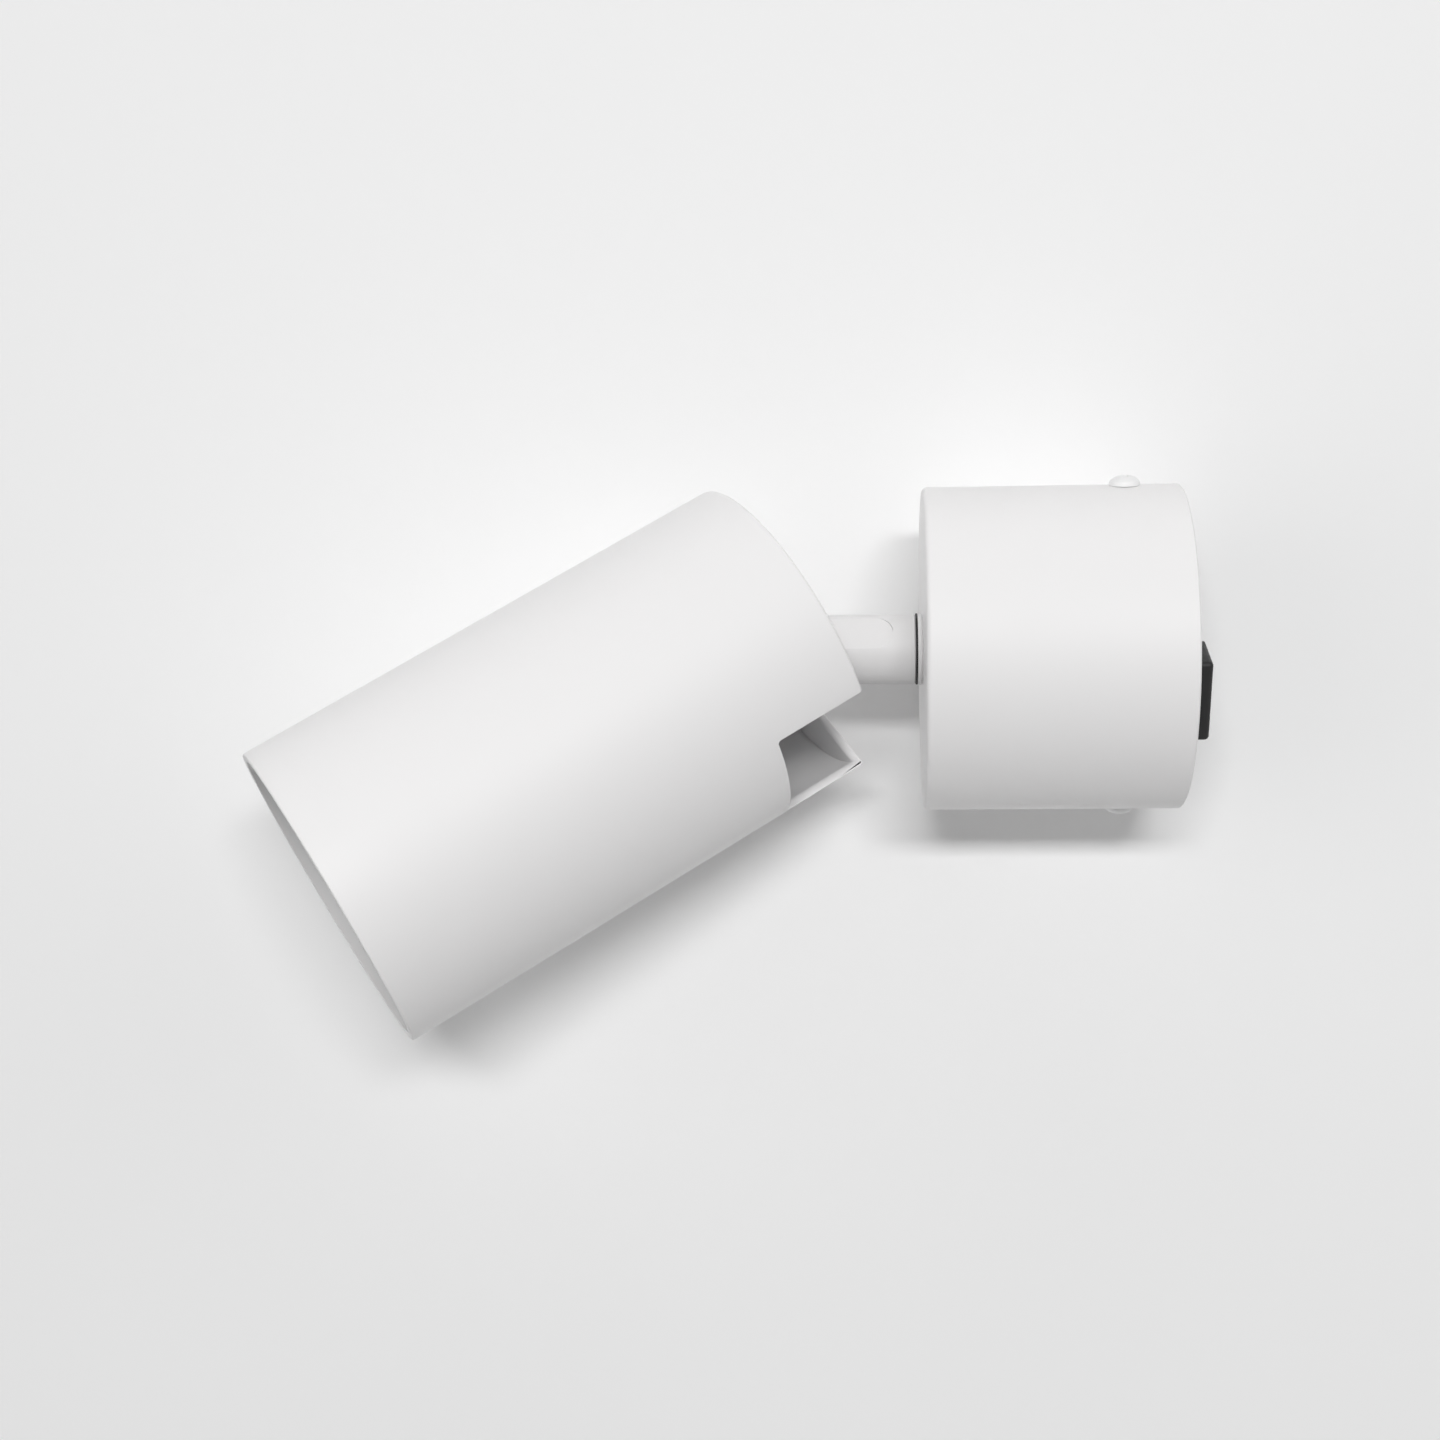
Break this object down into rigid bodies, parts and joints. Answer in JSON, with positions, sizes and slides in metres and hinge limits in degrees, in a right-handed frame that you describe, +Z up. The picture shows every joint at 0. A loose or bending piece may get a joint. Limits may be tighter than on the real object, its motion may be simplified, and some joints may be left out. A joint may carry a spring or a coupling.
{
  "type": "surface mounted ceiling spotlight",
  "caption": "White cylinder ceiling spotlight: a round canopy, a swivel stem and a tilting cup-shaped head slotted at its rear.",
  "frame": {"origin": "centre of the ceiling plane, midway between the two ceiling screw slots", "axes": "+Z up into the ceiling along the canopy and swivel axis; X through the two ceiling slots; the head hangs below, tilted 34.7 degrees and leaning 30.2 degrees from +X towards -Y"},
  "size_m": [0.101, 0.0846, 0.1732],
  "materials": {
    "white_coat": "satin white powder coat on aluminium",
    "white_lacquer": "white lacquer on steel",
    "zinc_steel": "bright zinc plate",
    "bright_steel": "polished stainless",
    "bare_aluminium": "as machined",
    "brass": "bright",
    "black_nylon": "moulded, fine grain",
    "black_plastic": "moulded, matt",
    "black_rubber": "soft matt",
    "white_ceramic": "unglazed steatite",
    "lamp_white": "smooth moulded",
    "lens_glass": "frosted"
  },
  "bodies": {
    "canopy": {"canopy_shell": "white_coat", "ceiling_bracket": "zinc_steel", "canopy_screws": "white_lacquer", "cable_bushing": "black_nylon", "earth_screw": "brass", "earth_washer": "brass", "terminal_block": "black_nylon", "terminal_sleeves": "brass", "terminal_screws": "zinc_steel", "terminal_fixing_screw": "zinc_steel", "collar_washer": "white_coat", "slip_washer": "black_nylon"},
    "swivel": {"swivel_stem": "white_coat", "friction_ring": "black_nylon", "stop_washer": "zinc_steel", "disc_spring": "bright_steel", "stem_nut": "zinc_steel"},
    "head": {"head_tube": "white_coat", "bulkhead": "bare_aluminium", "bulkhead_screws": "zinc_steel", "knuckle_fork": "bare_aluminium", "tilt_stop_pin": "bright_steel", "fork_screws": "zinc_steel", "friction_washers": "black_nylon", "pivot_screw": "zinc_steel", "pivot_washers": "bright_steel", "pivot_nut": "zinc_steel", "lead_grommet": "black_rubber", "lampholder": "white_ceramic", "lampholder_contacts": "brass", "lampholder_screws": "zinc_steel", "lamp_body": "lamp_white", "lamp_lens": "lens_glass", "lamp_pins": "brass", "baffle_ring": "black_plastic", "baffle_o_ring": "black_rubber"}
  },
  "joints": [
    {"name": "swivel_turn", "type": "hinge", "parent": "canopy", "child": "swivel", "pos_m": [0, 0, -0.047], "axis": [0, 0, 1], "range_deg": [-47.8, 288.2]},
    {"name": "head_tilt", "type": "hinge", "parent": "swivel", "child": "head", "pos_m": [0, 0, -0.0799], "axis": [-0.503, -0.8643, 0], "range_deg": [-34.7, 55.3]}
  ]
}
